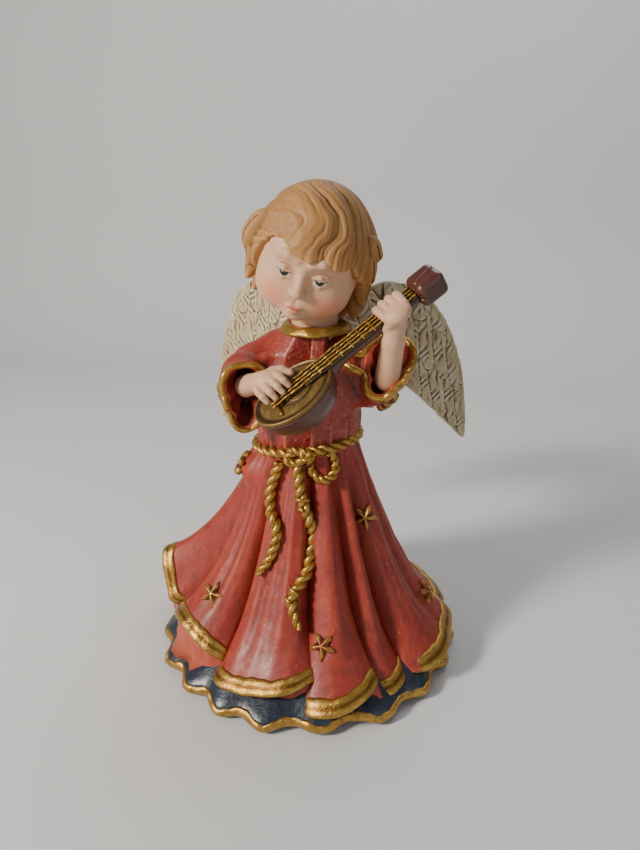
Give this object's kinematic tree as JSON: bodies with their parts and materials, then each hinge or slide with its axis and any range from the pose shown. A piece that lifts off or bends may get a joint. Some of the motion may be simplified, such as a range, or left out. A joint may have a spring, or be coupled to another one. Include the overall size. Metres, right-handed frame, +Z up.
{
  "type": "resin angel figurine",
  "caption": "Cast resin angel in a flared two-layer robe with a gold rope girdle and star trims, wings spread, playing a small round-backed mandolin; stands on a felt-padded base",
  "frame": {"origin": "centre of the felt pad's underside, the face that the figurine stands on", "axes": "+Z up along the figure, -Y is where the figure looks, +X is the figure's left hand"},
  "size_m": [0.1055, 0.1007, 0.1497],
  "materials": {
    "felt": "felt",
    "navy_paint": "gloss",
    "red_paint": "satin",
    "gold_paint": "antique metallic paint",
    "skin_paint": "matte",
    "hair_paint": "matte",
    "wing_paint": "matte with brown wash",
    "bowl_paint": "satin",
    "board_paint": "antique metallic paint",
    "pegbox_paint": "satin"
  },
  "bodies": {
    "root": {"felt_pad": "felt", "underskirt": "navy_paint", "underskirt_band": "gold_paint", "skirt": "red_paint", "skirt_hem_band": "gold_paint", "stars": "gold_paint", "bodice": "red_paint", "collar_band": "gold_paint", "right_sleeve": "red_paint", "left_sleeve": "red_paint", "right_cuff": "gold_paint", "left_cuff": "gold_paint", "right_hand": "skin_paint", "left_hand": "skin_paint", "head": "skin_paint", "hair": "hair_paint", "right_wing": "wing_paint", "left_wing": "wing_paint", "mandolin_bowl": "bowl_paint", "mandolin_soundboard": "board_paint", "mandolin_bridge": "gold_paint", "mandolin_neck": "bowl_paint", "mandolin_fretboard": "board_paint", "mandolin_frets": "gold_paint", "mandolin_strings": "gold_paint", "mandolin_pegbox": "pegbox_paint", "rope_belt": "gold_paint", "rope_knot": "gold_paint", "rope_loop": "gold_paint", "rope_end_left": "gold_paint", "rope_end_right": "gold_paint"}
  },
  "joints": []
}
